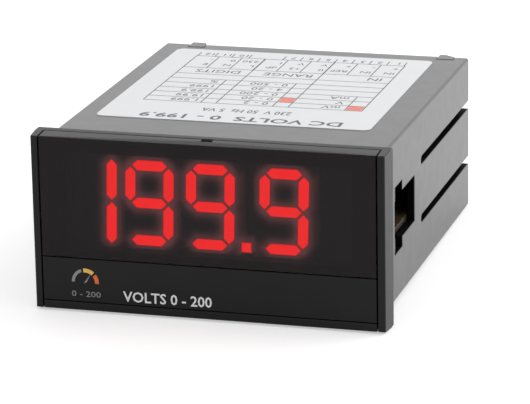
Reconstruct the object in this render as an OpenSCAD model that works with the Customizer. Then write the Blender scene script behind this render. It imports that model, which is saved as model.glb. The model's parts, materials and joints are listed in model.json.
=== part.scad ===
// Panel meter with a 3 1/2 digit lit display, for a 92 x 45 mm panel cut-out.
// The rear face of the bezel lies on the plane y = 0, the front faces -Y and the case runs to +Y.

/* [Bezel] */
// Width of the bezel at its rear edge
bezel_w = 96; // [92:0.5:110]
// Height of the bezel at its rear edge
bezel_h = 48; // [46:0.5:60]
// Depth of the bezel in front of the panel
bezel_d = 7.4; // [6.4:0.1:12]
// How far each side leans in from the rear edge to the front
bezel_taper = 0.45; // [0.1:0.05:1]
// Radius of the front edges and of the corners
bezel_edge_r = 0.6; // [0.2:0.1:1]
// Width of the fixed strip at each end of the bezel
end_strip_w = 2.4; // [1.6:0.1:3]
// Depth of the fixed strip behind the removable front
back_strip_d = 2.2; // [1.6:0.1:3]
// Gap round the removable front
front_gap = 0.35; // [0.15:0.05:0.6]
// Height of the bar under the legend
bar_h = 2.3; // [1.8:0.1:4]
// Height of the legend plate
legend_h = 12; // [9:0.5:14]
// Thickness of the legend plate
legend_t = 1.5; // [1:0.1:2]
// Thickness of the display window
window_t = 2; // [1.2:0.1:2.4]
// Thickness of the lip along the top of the window
window_lip_t = 1.7; // [1:0.1:2.2]
// Width of the notch that the front is levered off with
pry_notch_w = 3; // [2:0.2:8]
// Depth of that notch into the bezel's top
pry_notch_d = 0.6; // [0.4:0.1:1.4]
// Sideways place of that notch
pry_notch_x = -0.6; // [-10:0.1:10]
// Length of the guide arms behind the removable front
guide_l = 10; // [5:0.5:12]
// Depth of the seat in the bezel's rear face that takes the front edge of the case
seat_d = 0.8; // [0.4:0.1:1.2]
// Clearance of the case in that seat
seat_clear = 0.15; // [0.05:0.05:0.3]

/* [Case] */
// Width of the case
body_w = 90.5; // [86:0.5:91.5]
// Height of the case
body_h = 43.8; // [42.8:0.2:44.8]
// Length of the case behind the panel
body_d = 104; // [98:1:160]
// Thickness of the case walls
wall = 2; // [1.4:0.1:2.4]
// Radius of the long outer edges
body_edge_r = 0.8; // [0.3:0.1:1.4]
// Height of the clamp slots in the sides
slot_h = 2.3; // [1.5:0.1:3]
// Height of each clamp slot above and below the middle
slot_z = 8.2; // [7.6:0.2:10]
// Length of the clamp slots, which are open at the rear
slot_l = 60.5; // [40:0.5:64]

/* [Side windows] */
// Distance from the panel to the latch window in each side
latch_front = 12.9; // [11:0.1:16]
// Length of the tall part of the window
latch_tall_l = 8.7; // [7:0.1:10]
// Height of the tall part
latch_tall_h = 18.4; // [17:0.2:20]
// Length of the low part behind it
latch_low_l = 14.2; // [8:0.2:18]
// Height of the low part
latch_low_h = 12.8; // [10:0.2:14]
// Thickness of the latch arms
latch_t = 1.6; // [1.2:0.1:2]
// Height of each latch arm
latch_arm_h = 4; // [3:0.2:4.4]

/* [Display] */
// Height of a digit
digit_h = 23.3; // [20:0.1:24]
// Width of a digit
digit_w = 13.4; // [11:0.1:14]
// Width of one segment
segment_w = 3; // [2:0.1:3.4]
// Gap between the slanted ends of two segments
segment_gap = 0.4; // [0.2:0.05:0.8]
// Lean of the digits, in degrees
digit_lean = 1.8; // [0:0.2:6]
// Height of the middle of the digits above the middle of the bezel
digit_z = 6.5; // [5:0.1:7]
// Sideways place of the middle digit
digit_x = 0.5; // [-2:0.1:2]
// Distance from the left digit to the middle one
digit_pitch = 16.5; // [15.5:0.1:18]
// Distance from the middle digit to the right one, with the decimal point between
point_pitch = 19.8; // [19.4:0.1:22]
// Distance from the half digit's bars to the left digit
half_pitch = 10.3; // [10.1:0.1:12]
// Side of the square decimal point
point_w = 2.8; // [2:0.1:3]
// Margin of a display module above and below its digit
module_margin = 0.8; // [0.6:0.1:1.4]
// Depth of a display module
module_d = 7.5; // [6:0.1:9]
// Thickness of the segment diffusers
diffuser_t = 0.6; // [0.3:0.1:1]

/* [Boards] */
// Thickness of both circuit boards
board_t = 1.6; // [1:0.1:2.4]
// Height of the main board's top face
board_top = -4.6; // [-6:0.1:-4]
// Length of the main board
board_l = 96; // [94:0.5:97]
// Clearance of a board in its guides
board_clear = 0.15; // [0.05:0.05:0.3]
// Number of pins between the two boards
link_count = 20; // [8:1:26]
// Spacing of those pins
link_pitch = 2.54; // [2:0.01:3]
// Thickness of a pin
pin_t = 0.64; // [0.5:0.02:0.8]

/* [Transformer] */
// Width of the iron core
core_w = 30; // [26:0.5:34]
// Length of the iron core
core_l = 25; // [22:0.5:28]
// Height of the stack of laminations
core_h = 12.5; // [10:0.5:14]
// Width of the core's middle leg
core_leg = 10; // [8:0.5:11]
// Height of the winding above and below the core's middle leg
winding_t = 4; // [3:0.1:4.2]

/* [Converter and small parts] */
// Number of leads along one side of the converter chip
chip_leads_per_side = 20; // [10:1:20]
// Width of the converter chip's body
chip_w = 13.7; // [10:0.1:15]
// Diameter of the filter capacitors
filter_cap_d = 13; // [8:0.5:14]
// Height of the filter capacitors
filter_cap_h = 18; // [12:0.5:20]
// Side of a trimmer's square body
trimmer_w = 6.8; // [5:0.1:8]
// Diameter of a trimmer's rotor
trimmer_rotor_d = 4.2; // [3:0.1:4.6]
// Running clearance round a rotor
rotor_clear = 0.06; // [0.03:0.01:0.1]

/* [Terminals] */
// Number of terminals
terminal_count = 12; // [4:1:14]
// Spacing of the terminals
terminal_pitch = 5.08; // [5:0.01:5.1]
// Sideways place of the middle of the terminal block
terminal_x = -1; // [-3:0.5:3]
// Height of the plug's outer part
plug_h = 15; // [13:0.5:16]
// Depth of the plug's outer part
plug_d = 9.5; // [8:0.5:14]
// How far the plug reaches into the header
plug_in = 9.8; // [7:0.1:10]
// Clearance of the plug in the header
plug_clear = 0.25; // [0.1:0.05:0.4]
// Thickness of the header's walls
header_wall = 0.9; // [0.6:0.1:1.2]
// Diameter of a terminal screw's head
screw_head_d = 3.2; // [2.4:0.1:3.4]

/* [Rear cover] */
// Thickness of the rear cover
cover_t = 2; // [1.4:0.1:3]
// How far the cover sits inside the rear edge
cover_recess = 0.4; // [0:0.1:1.5]
// Width of the cover's lugs
lug_w = 4.8; // [3:0.1:6]
// How far a lug stands out of the case wall
lug_proud = 0.1; // [0.05:0.05:1]
// How far a lug reaches behind the case, to be gripped when the cover is pulled off
lug_reach = 2.1; // [0.5:0.1:3]
// How far the side of a left lug slants
lug_left_slant = 0.9; // [0:0.1:2]
// How far the side of a right lug slants
lug_right_slant = 3; // [0:0.1:3.4]
// Sideways place of the left lugs
lug_left_x = -35.2; // [-38:0.2:-30]
// Sideways place of the right lugs
lug_right_x = 38.9; // [34:0.1:39.6]
// Width of a vent slot
vent_w = 1.6; // [1:0.1:2]
// Spacing of the vent slots
vent_pitch = 3.6; // [3:0.1:5]

/* [Label] */
// Width of the label on the top of the case
label_w = 76; // [50:1:82]
// Length of the label
label_l = 76.5; // [50:0.5:82]
// Thickness of the label
label_t = 0.15; // [0.1:0.01:0.3]
// Distance from the panel to the label
label_front = 21.5; // [10:0.5:22]
// Sideways place of the label's middle
label_x = -1.5; // [-3:0.5:3]

/* [Hidden] */
$fn = 48;

// A cut runs this far past the face that it opens.
past = 1;
// Two pieces of one assembly that slide together leave this gap.
fit_gap = 0.2;

// Inside of the case.
inner_w = body_w - 2 * wall;
inner_h = body_h - 2 * wall;

// The removable front, between the end strips and in front of the back strip.
notch_in_lip = 1.8;
notch_in_strip = 0.6;
front_half_w = bezel_w / 2 - end_strip_w - front_gap;
pocket_half_w = bezel_w / 2 - end_strip_w;
front_back_y = -back_strip_d - fit_gap;
seam_z_low = -bezel_h / 2 + bar_h + bezel_taper;
seam_z_high = seam_z_low + legend_h;
line_gap = 0.25;
window_back_y = -bezel_d + window_t;
lip_z = bezel_h / 2 - bezel_taper - window_lip_t;

// The front frame's ring and side plates.
side_plate_out = inner_w / 2 - board_clear;
side_plate_in = side_plate_out - latch_t;
ring_half_w = side_plate_in;
ring_half_h = inner_h / 2 - fit_gap;
side_plate_margin = 1;
side_plate_h = 2 * (ring_half_h - side_plate_margin);
side_plate_l = 8;
ledge_h = 2.4;
ledge_w = 1.2;
barb_gap = 0.2;
barb_l = 1.6;
barb_sunk = 0.3;
arm_end_gap = 0.8;
arm_end_taper = 0.3;
arm_z = latch_tall_h / 2 - fit_gap - latch_arm_h / 2;

// The carrier's opening round the display and its two guide arms.
carrier_side_w = 3;
carrier_open_half_w = side_plate_in - carrier_side_w;
carrier_top_gap = 0.1;
carrier_top_z = lip_z - carrier_top_gap;
carrier_open_top = digit_z + digit_h / 2 + module_margin + fit_gap;
carrier_low_gap = 1.2;
carrier_open_low = digit_z - digit_h / 2 - module_margin - carrier_low_gap;
guide_t = 1.4;
guide_h = 12;
guide_z = 8.5;

// The display behind the window.
face_gap = 0.3;
face_y = window_back_y + face_gap;
board_front_y = face_y + module_d;
board_back_y = board_front_y + board_t;
module_h = digit_h + 2 * module_margin;
module_side = 1.25;
module_w = digit_w + 2 * module_side;
half_module_w = 10;
sign_l = 3.6;
sign_t = 0.8;
sign_margin = 0.8;
left_x = digit_x - digit_pitch;
right_x = digit_x + point_pitch;
bars_x = left_x - half_pitch;
half_module_x = left_x - module_w / 2 - fit_gap - half_module_w / 2;
point_shift = -0.3;
point_x = (digit_x + right_x) / 2 + point_shift;
point_z = digit_z - digit_h / 2 + point_w / 2;
point_rim = 0.15;
point_lamp_w = point_w + 2 * point_rim;
display_board_w = 2 * side_plate_in - 2 * board_clear;
display_board_gap = 0.7;
display_board_h = inner_h - 2 * display_board_gap;

// The trimmers on the lower part of the display board.
trimmer_d = 3.6;
trimmer_gap = 2.5;
trimmer_z = digit_z - module_h / 2 - trimmer_gap - trimmer_w / 2;
zero_x = 12;
span_x = 24;
rotor_d = 2;
rotor_sunk = 1.6;
rotor_floor_gap = 0.05;
rotor_slot_w = 0.7;
rotor_slot_d = 0.7;

// The main board lies in guides in the case's side walls.
board_joint_gap = 0.3;
main_front_y = board_back_y + board_joint_gap;
main_back_y = main_front_y + board_l;
board_low = board_top - board_t;
board_side_gap = 0.25;
board_half_w = inner_w / 2 - board_side_gap;
nose_side_gap = 0.4;
nose_half_w = side_plate_in - nose_side_gap;
nose_end_gap = 0.6;
nose_l = latch_front + latch_tall_l - main_front_y + nose_end_gap;
guide_rib_t = 1.2;
guide_rib_w = 2;
guide_rib_front_gap = 3;
guide_rib_back_gap = 4;
guide_front_y = latch_front + latch_tall_l + latch_low_l + guide_rib_front_gap;
guide_back_y = main_back_y - guide_rib_back_gap;

// The pins between the boards.
strip_t = 2.5;
strip_half_w = link_count * link_pitch / 2;
link_z = board_top + strip_t / 2;
link_reach = 1.4;
link_drop_y = board_back_y + strip_t + link_reach;

// The converter chip and its socket.
chip_pitch = 2.54;
chip_end = 0.6;
chip_l = chip_leads_per_side * chip_pitch + 2 * chip_end;
chip_row = 15.24;
chip_place_l = 15;
chip_y = main_front_y + chip_place_l;
socket_h = 3.6;
socket_rail_w = 2.6;
socket_end_w = 3;
socket_bar_w = 4;
socket_hole_half_l = chip_row / 2 - socket_rail_w / 2;
chip_h = 3.8;
chip_mark_r = 1.4;
chip_mark_d = 0.6;
lead_w = 1.2;
lead_t = 0.3;

// The transformer.
transformer_x = -22;
transformer_y = 62;
core_slot_l = core_l - core_leg;
core_slot_w = (core_w - 2 * core_leg) / 2;
bobbin_t = 0.7;
bobbin_clear = 0.1;
bobbin_half_h = core_h / 2 + bobbin_clear + bobbin_t + winding_t;
transformer_lift = 0.5;
transformer_z = board_top + bobbin_half_h + transformer_lift;
flange_t = 0.8;
flange_half_l = core_slot_l / 2 - bobbin_clear;
flange_half_w = core_leg / 2 + core_slot_w - bobbin_clear;
rail_half_w = core_w / 2 - 1;
winding_side_gap = 0.3;
winding_top_gap = 0.4;
winding_r = 2;

// Small parts on the main board.
filter_cap_x = 12;
filter_cap_places = [54, 71];
rectifier_d = 9;
rectifier_h = 5.5;
rectifier_lift = 1;
rectifier_wire_d = 0.8;
rectifier_x = 30;
rectifier_y = 52;
regulator_x = 31;
regulator_y = 72;
regulator_w = 10;
regulator_t = 3.2;
regulator_h = 9;
regulator_lift = 4;
tab_t = 1.3;
tab_h = 15.4;
tab_hole_d = 3.6;
tab_hole_z = 16.4;
leg_pitch = 2.54;
leg_w = 0.8;
leg_t = 0.5;
leg_y = 1.4;
film_places = [[-34, 41, 7.2, 4], [-24, 41, 10, 4], [-11, 41, 7.2, 3], [37, 31, 3, 7.2]];
film_h = 8;
resistor_count = 8;
resistor_pitch = 3.6;
resistor_y = 39;
resistor_x = 4;
resistor_d = 2.4;
resistor_l = 6.4;
resistor_span = 10.2;
resistor_lift = 0.2;
resistor_z = resistor_d / 2 + resistor_lift;
wire_d = 0.6;

// The terminals: a header on the board and a plug that pulls off to the rear.
cover_back_y = body_d - cover_recess;
cover_front_y = cover_back_y - cover_t;
block_half_w = terminal_count * terminal_pitch / 2;
header_cover_gap = 0.8;
header_back_y = cover_front_y - header_cover_gap;
header_h = 8.8;
header_end_gap = 0.6;
header_end_t = 1.8;
header_floor_y = header_back_y - plug_in - header_end_gap;
header_front_y = header_floor_y - header_end_t;
header_half_w = block_half_w + plug_clear;
header_top = board_top + header_h;
terminal_z = board_top + header_h / 2;
header_pin_t = 1;
pin_tip_sunk = 2.2;
pin_tip_y = header_back_y - pin_tip_sunk;
pin_reach = 1.6;
pin_drop_y = header_front_y - pin_reach;
socket_half_h = header_h / 2 - header_wall - plug_clear;
plug_front_y = header_back_y - plug_in;
plug_body_y = header_back_y + fit_gap;
plug_back_y = plug_body_y + plug_d;
plug_lift = 0.5;
plug_low_z = board_top + plug_lift;
plug_top_z = plug_low_z + plug_h;
plug_side = 0.5;
plug_half_w = block_half_w + plug_side;
plug_chamfer = 1;
plug_slope_h = 2.4;
plug_slope_l = 1.6;
cell_wall = 1.2;
cage_w = terminal_pitch - cell_wall;
cage_l = 5.6;
cage_h = 7;
cage_t = 0.7;
cage_side_t = 0.5;
cage_clear = 0.1;
cage_inset = 1.2;
cage_front_y = plug_body_y + cage_inset;
cage_drop = 2.2;
cage_low_z = terminal_z - cage_drop;
cage_mid_y = cage_front_y + cage_l / 2;
cage_hole_w = cage_w - 2 * cage_side_t;
cage_hole_h = 3.4;
screw_shank_d = 2.2;
screw_head_h = 2;
screw_clear = 0.15;
screw_tip = 0.3;
screw_slot_w = 0.7;
screw_slot_d = 0.8;
contact_t = 0.5;
contact_gap = 0.05;
contact_end_gap = 1;
contact_foot_l = 1;
contact_foot_side = 0.2;
contact_top = -header_pin_t / 2 - contact_gap;
socket_half_w = header_pin_t / 2 + plug_clear;
socket_gap = 0.3;
socket_low = header_pin_t / 2 + contact_t + socket_gap;
socket_high = header_pin_t / 2 + socket_gap;
solder_h = 1.4;
small_solder_h = 1.2;

// The rear cover.
cover_half_w = inner_w / 2 - fit_gap;
cover_half_h = inner_h / 2 - fit_gap;
lug_l = 2.8;
lug_gap = 0.15;
lug_t = 1.2;
cover_opening_gap = 0.3;
vent_rows = [[13.2, 17.4], [-17, -8]];
vent_half_count = 8;

// The label.
label_r = 2.2;

function terminal_place(i) = terminal_x + (i - (terminal_count - 1) / 2) * terminal_pitch;
function link_place(i) = (i - (link_count - 1) / 2) * link_pitch;
function chip_place(i) = (i - (chip_leads_per_side - 1) / 2) * chip_pitch;

// Extrudes an outline drawn in x and z from y0 to y1.
module along_y(y0, y1) {
    translate([0, y1, 0])
        rotate([90, 0, 0])
            linear_extrude(y1 - y0)
                children();
}

// Extrudes an outline drawn in y and z from x0 to x1.
module along_x(x0, x1) {
    translate([x0, 0, 0])
        rotate([90, 0, 90])
            linear_extrude(x1 - x0)
                children();
}

// A block between two corners.
module block(low, high) {
    translate(low)
        cube(high - low);
}

// A rectangle about the origin with round corners.
module round_rect(w, h, r) {
    square([w - 2 * r, h], center = true);
    square([w, h - 2 * r], center = true);
    for (sx = [-1, 1], sy = [-1, 1])
        translate([sx * (w / 2 - r), sy * (h / 2 - r)])
            circle(r);
}

// Outline of the bezel seen from above or from the side: straight at the rear, leaning in to
// rounded front edges. The first coordinate runs across and the second to the rear.
function bezel_outline(half) = [
    [half, 0],
    for (a = [0 : 22.5 : 90])
        [half - bezel_taper - bezel_edge_r * (1 - cos(a)), -bezel_d + bezel_edge_r * (1 - sin(a))],
    for (a = [90 : -22.5 : 0])
        [-half + bezel_taper + bezel_edge_r * (1 - cos(a)), -bezel_d + bezel_edge_r * (1 - sin(a))],
    [-half, 0]
];

// The whole outer form of the bezel, which the frame, the window, the legend and the bar share.
module bezel_form() {
    intersection() {
        translate([0, 0, -bezel_h / 2])
            linear_extrude(bezel_h)
                polygon(bezel_outline(bezel_w / 2));
        along_x(-bezel_w / 2, bezel_w / 2)
            polygon([for (p = bezel_outline(bezel_h / 2)) [p[1], p[0]]]);
        along_y(-bezel_d, 0)
            round_rect(bezel_w, bezel_h, bezel_edge_r);
    }
}

// The notch in the top of the bezel, across the seam behind the window's lip, with a floor that
// rises to the rear.
module pry_notch() {
    along_x(pry_notch_x - pry_notch_w / 2, pry_notch_x + pry_notch_w / 2)
        polygon([
            [-back_strip_d - notch_in_lip, bezel_h / 2 + past],
            [-back_strip_d - notch_in_lip, bezel_h / 2 - pry_notch_d],
            [-back_strip_d, bezel_h / 2 - pry_notch_d],
            [-back_strip_d + notch_in_strip, bezel_h / 2],
            [-back_strip_d + notch_in_strip, bezel_h / 2 + past]
        ]);
}

// The T-shaped latch window, seen from the side.
module latch_outline() {
    translate([latch_front, -latch_tall_h / 2])
        square([latch_tall_l, latch_tall_h]);
    translate([latch_front, -latch_low_h / 2])
        square([latch_tall_l + latch_low_l, latch_low_h]);
}

// One clamp slot, seen from the side, round at its closed front end.
module slot_outline() {
    translate([body_d - slot_l + slot_h / 2, -slot_h / 2])
        square([slot_l + past, slot_h]);
    translate([body_d - slot_l + slot_h / 2, 0])
        circle(slot_h / 2);
}

module housing() color("dimgray") {
    difference() {
        union() {
            along_y(-seat_d, body_d)
                difference() {
                    round_rect(body_w, body_h, body_edge_r);
                    square([inner_w, inner_h], center = true);
                }
            for (side = [-1, 1], z = [board_top + board_clear, board_low - board_clear - guide_rib_t])
                translate([side * (inner_w / 2 - guide_rib_w / 2) - guide_rib_w / 2, guide_front_y, z])
                    cube([guide_rib_w, guide_back_y - guide_front_y, guide_rib_t]);
        }
        for (x = [-body_w / 2 - past, body_w / 2 - wall - past])
            along_x(x, x + wall + 2 * past) {
                latch_outline();
                for (side = [-1, 1])
                    translate([0, side * slot_z])
                        slot_outline();
            }
        for (x = [lug_left_x, lug_right_x], side = [0, 1])
            mirror([0, 0, side])
                block(
                    [x - lug_w / 2 - lug_gap, cover_back_y - lug_l, inner_h / 2 - past],
                    [x + lug_w / 2 + lug_gap, body_d + past, body_h / 2 + past]
                );
    }
}

// One row of vent slots between two heights.
module vent_row(low, high) {
    for (i = [-vent_half_count : vent_half_count])
        translate([i * vent_pitch, 0])
            translate([-vent_w / 2, low])
                square([vent_w, high - low]);
}

// A lug of the rear cover: it fills its notch in the case wall and reaches out behind it, with
// the right-hand side slanting in to its tip.
module lug(x, slant) {
    top = body_h / 2 + lug_proud;
    front_y = cover_back_y - lug_l + lug_gap;
    tip_y = body_d + lug_reach;
    intersection() {
        along_x(x - lug_w / 2, x + lug_w / 2)
            polygon([
                [front_y, cover_half_h - past],
                [front_y, top],
                [tip_y, top],
                [tip_y, top - lug_t],
                [cover_back_y, cover_half_h - past]
            ]);
        linear_extrude(top)
            polygon([
                [x - lug_w / 2, front_y],
                [x - lug_w / 2, tip_y],
                [x + lug_w / 2 - slant, tip_y],
                [x + lug_w / 2, body_d],
                [x + lug_w / 2, front_y]
            ]);
    }
}

module rear_cover() color("dimgray") {
    along_y(cover_front_y, cover_back_y)
        difference() {
            square([2 * cover_half_w, 2 * cover_half_h], center = true);
            translate([terminal_x - plug_half_w - cover_opening_gap, plug_low_z - cover_opening_gap])
                square([2 * (plug_half_w + cover_opening_gap), plug_h + 2 * cover_opening_gap]);
            for (row = vent_rows)
                vent_row(row[0], row[1]);
        }
    for (side = [0, 1])
        mirror([0, 0, side]) {
            lug(lug_left_x, lug_left_slant);
            lug(lug_right_x, lug_right_slant);
        }
}

// One latch arm of the front frame, seen from above, on the right-hand side.
module latch_arm() {
    polygon([
        [side_plate_in, side_plate_l - past],
        [side_plate_in, latch_front + latch_tall_l - arm_end_gap],
        [side_plate_out - arm_end_taper, latch_front + latch_tall_l - arm_end_gap],
        [body_w / 2 - barb_sunk, latch_front + barb_gap + barb_l],
        [body_w / 2 - barb_sunk, latch_front + barb_gap],
        [side_plate_out, latch_front + barb_gap],
        [side_plate_out, side_plate_l - past]
    ]);
}

module front_frame() color("dimgray") {
    difference() {
        bezel_form();
        block([-pocket_half_w, -bezel_d - past, -bezel_h], [pocket_half_w, -back_strip_d, bezel_h]);
        along_y(-bezel_d, past)
            square([2 * ring_half_w, 2 * ring_half_h], center = true);
        along_y(-seat_d, past)
            round_rect(body_w + 2 * seat_clear, body_h + 2 * seat_clear, body_edge_r + seat_clear);
        pry_notch();
    }
    for (side = [0, 1])
        mirror([side, 0, 0]) {
            block(
                [side_plate_in, -seat_d - past / 2, -side_plate_h / 2],
                [side_plate_out, side_plate_l, side_plate_h / 2]
            );
            for (z = [-arm_z, arm_z])
                translate([0, 0, z - latch_arm_h / 2])
                    linear_extrude(latch_arm_h)
                        latch_arm();
            for (z = [-side_plate_h / 2, side_plate_h / 2 - ledge_h])
                block(
                    [side_plate_in - ledge_w, board_back_y + board_clear, z],
                    [side_plate_out, side_plate_l, z + ledge_h]
                );
        }
}

module insert_carrier() color("dimgray") {
    difference() {
        intersection() {
            bezel_form();
            union() {
                block([-front_half_w, -bezel_d, -bezel_h], [front_half_w, front_back_y, seam_z_low]);
                block(
                    [-front_half_w, -bezel_d + legend_t, -bezel_h],
                    [front_half_w, front_back_y, seam_z_high]
                );
                block(
                    [-front_half_w, window_back_y, seam_z_high - past],
                    [front_half_w, front_back_y, carrier_top_z]
                );
            }
        }
        along_y(-bezel_d - past, past)
            polygon([
                [-carrier_open_half_w, carrier_open_low],
                [carrier_open_half_w, carrier_open_low],
                [carrier_open_half_w, carrier_open_top],
                [-carrier_open_half_w, carrier_open_top]
            ]);
    }
    for (side = [0, 1])
        mirror([side, 0, 0])
            block(
                [side_plate_in - fit_gap - guide_t, front_back_y - past / 2, guide_z - guide_h / 2],
                [side_plate_in - fit_gap, front_back_y + guide_l, guide_z + guide_h / 2]
            );
}

module display_window() color([0.35, 0.02, 0.03, 0.7]) {
    difference() {
        intersection() {
            bezel_form();
            union() {
                block(
                    [-front_half_w, -bezel_d, seam_z_high + line_gap],
                    [front_half_w, window_back_y, bezel_h]
                );
                block([-front_half_w, -bezel_d, lip_z], [front_half_w, front_back_y, bezel_h]);
            }
        }
        pry_notch();
    }
}

module legend_plate() color("black") {
    intersection() {
        bezel_form();
        block(
            [-front_half_w, -bezel_d, seam_z_low + line_gap],
            [front_half_w, -bezel_d + legend_t, seam_z_high]
        );
    }
}

// Leans a point of a digit over to the right.
function leaned(p) = [p[0] + p[1] * tan(digit_lean), p[1]];

// The six corners of a segment about its middle: lying down, or upright.
function segment_points(length, upright) = [
    for (p = [
        [-length / 2, 0],
        [-length / 2 + segment_w / 2, segment_w / 2],
        [length / 2 - segment_w / 2, segment_w / 2],
        [length / 2, 0],
        [length / 2 - segment_w / 2, -segment_w / 2],
        [-length / 2 + segment_w / 2, -segment_w / 2]
    ])
        upright ? [p[1], p[0]] : p
];

// Reach of the segments' middle lines from the middle of a digit.
reach_x = digit_w / 2 - segment_w / 2;
reach_z = digit_h / 2 - segment_w / 2;
tip_gap = segment_gap / sqrt(2);
// Middle, length and direction of the segments A to G of a digit.
SEGMENTS = [
    [[0, reach_z], 2 * reach_x - 2 * tip_gap, false],
    [[reach_x, reach_z / 2], reach_z - 2 * tip_gap, true],
    [[reach_x, -reach_z / 2], reach_z - 2 * tip_gap, true],
    [[0, -reach_z], 2 * reach_x - 2 * tip_gap, false],
    [[-reach_x, -reach_z / 2], reach_z - 2 * tip_gap, true],
    [[-reach_x, reach_z / 2], reach_z - 2 * tip_gap, true],
    [[0, 0], 2 * reach_x - 2 * tip_gap, false]
];
// The digit 9 lights every segment but E, the lower left one.
NINE = [0, 1, 2, 3, 5, 6];
LOWER_LEFT = [4];

// Draws the listed segments of a digit at a sideways place.
module digit_outline(x, list) {
    translate([x, digit_z])
        for (i = list)
            polygon([for (p = segment_points(SEGMENTS[i][1], SEGMENTS[i][2])) leaned(p + SEGMENTS[i][0])]);
}

// The two bars of the half digit, which use the segments B and C moved to its middle.
module bars_outline() {
    digit_outline(bars_x - reach_x, [1, 2]);
}

// The sign in front of the half digit.
module sign_outline() {
    sign_x = half_module_x - half_module_w / 2 + sign_margin + sign_l / 2;
    for (size = [[sign_l, sign_t], [sign_t, sign_l]])
        translate([sign_x, digit_z])
            square(size, center = true);
}

module point_outline() {
    translate([point_x, point_z])
        square(point_w, center = true);
}

// A display module with the recesses for its diffusers.
module display_module(x, w) {
    difference() {
        block(
            [x - w / 2, face_y, digit_z - module_h / 2],
            [x + w / 2, board_front_y, digit_z + module_h / 2]
        );
        along_y(face_y - past, face_y + diffuser_t)
            children();
    }
}

module half_digit() color("black")
    display_module(half_module_x, half_module_w) {
        bars_outline();
        sign_outline();
    }

module left_digit() color("black")
    display_module(left_x, module_w)
        digit_outline(left_x, [0 : 6]);

module middle_digit() color("black")
    display_module(digit_x, module_w)
        digit_outline(digit_x, [0 : 6]);

module right_digit() color("black")
    display_module(right_x, module_w)
        digit_outline(right_x, [0 : 6]);

module point_lamp() color("black")
    difference() {
        block(
            [point_x - point_lamp_w / 2, face_y, point_z - point_lamp_w / 2],
            [point_x + point_lamp_w / 2, board_front_y, point_z + point_lamp_w / 2]
        );
        along_y(face_y - past, face_y + diffuser_t)
            point_outline();
    }

module lit_segments() color("red")
    along_y(face_y, face_y + diffuser_t) {
        bars_outline();
        for (x = [left_x, digit_x, right_x])
            digit_outline(x, NINE);
        point_outline();
    }

module dark_segments() color("gray")
    along_y(face_y, face_y + diffuser_t) {
        sign_outline();
        for (x = [left_x, digit_x, right_x])
            digit_outline(x, LOWER_LEFT);
    }

module display_board() color("darkgreen")
    difference() {
        block(
            [-display_board_w / 2, board_front_y, -display_board_h / 2],
            [display_board_w / 2, board_back_y, display_board_h / 2]
        );
        for (side = [0, 1])
            mirror([side, 0, 0])
                block(
                    [side_plate_in - 2 * fit_gap - guide_t, 0, guide_z - guide_h / 2 - fit_gap],
                    [side_plate_in, board_back_y + past, guide_z + guide_h / 2 + fit_gap]
                );
        link_pin_row();
    }

// A square trimmer body at a sideways place, with the bore for its rotor.
module trimmer_body(x) {
    difference() {
        block(
            [x - trimmer_w / 2, board_front_y - trimmer_d, trimmer_z - trimmer_w / 2],
            [x + trimmer_w / 2, board_front_y, trimmer_z + trimmer_w / 2]
        );
        translate([x, board_front_y - trimmer_d + rotor_sunk, trimmer_z])
            rotate([90, 0, 0])
                cylinder(d = trimmer_rotor_d + 2 * rotor_clear, h = trimmer_d + past);
    }
}

// A rotor with a screwdriver slot across its face.
module trimmer_rotor(x) {
    rotor_back_y = board_front_y - trimmer_d + rotor_sunk - rotor_floor_gap;
    difference() {
        translate([x, rotor_back_y, trimmer_z])
            rotate([90, 0, 0])
                cylinder(d = trimmer_rotor_d, h = rotor_d);
        translate([x, rotor_back_y - rotor_d, trimmer_z])
            cube([trimmer_rotor_d + past, 2 * rotor_slot_d, rotor_slot_w], center = true);
    }
}

module zero_trimmer_body() color("royalblue")
    trimmer_body(zero_x);

module zero_trimmer_rotor() color("white")
    trimmer_rotor(zero_x);

module span_trimmer_body() color("royalblue")
    trimmer_body(span_x);

module span_trimmer_rotor() color("white")
    trimmer_rotor(span_x);

module main_board() color("darkgreen")
    translate([0, 0, board_low])
        linear_extrude(board_t)
            polygon([
                [-nose_half_w, main_front_y],
                [nose_half_w, main_front_y],
                [nose_half_w, main_front_y + nose_l],
                [board_half_w, main_front_y + nose_l],
                [board_half_w, main_back_y],
                [-board_half_w, main_back_y],
                [-board_half_w, main_front_y + nose_l],
                [-nose_half_w, main_front_y + nose_l]
            ]);

// The bent pins that join the display board to the main board.
module link_pin_row() {
    for (i = [0 : link_count - 1])
        translate([link_place(i) - pin_t / 2, 0, 0])
            rotate([90, 0, 90])
                linear_extrude(pin_t)
                    polygon([
                        [board_front_y, link_z - pin_t / 2],
                        [link_drop_y - pin_t, link_z - pin_t / 2],
                        [link_drop_y - pin_t, board_top],
                        [link_drop_y, board_top],
                        [link_drop_y, link_z + pin_t / 2],
                        [board_front_y, link_z + pin_t / 2]
                    ]);
}

module link_strip() color("black")
    difference() {
        block(
            [-strip_half_w, board_back_y, board_top],
            [strip_half_w, board_back_y + strip_t, board_top + strip_t]
        );
        link_pin_row();
    }

module link_pins() color("goldenrod")
    link_pin_row();

module chip_socket() color("black") {
    difference() {
        block(
            [-chip_l / 2, chip_y - chip_row / 2 - socket_rail_w / 2, board_top],
            [chip_l / 2, chip_y + chip_row / 2 + socket_rail_w / 2, board_top + socket_h]
        );
        for (side = [0, 1])
            mirror([side, 0, 0])
                block(
                    [socket_bar_w / 2, chip_y - socket_hole_half_l, board_top - past],
                    [chip_l / 2 - socket_end_w, chip_y + socket_hole_half_l, board_top + socket_h + past]
                );
    }
}

module converter_chip() color("#222222")
    difference() {
        block(
            [-chip_l / 2, chip_y - chip_w / 2, board_top + socket_h],
            [chip_l / 2, chip_y + chip_w / 2, board_top + socket_h + chip_h]
        );
        translate([-chip_l / 2, chip_y, board_top + socket_h + chip_h - chip_mark_d])
            cylinder(r = chip_mark_r, h = past);
    }

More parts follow.
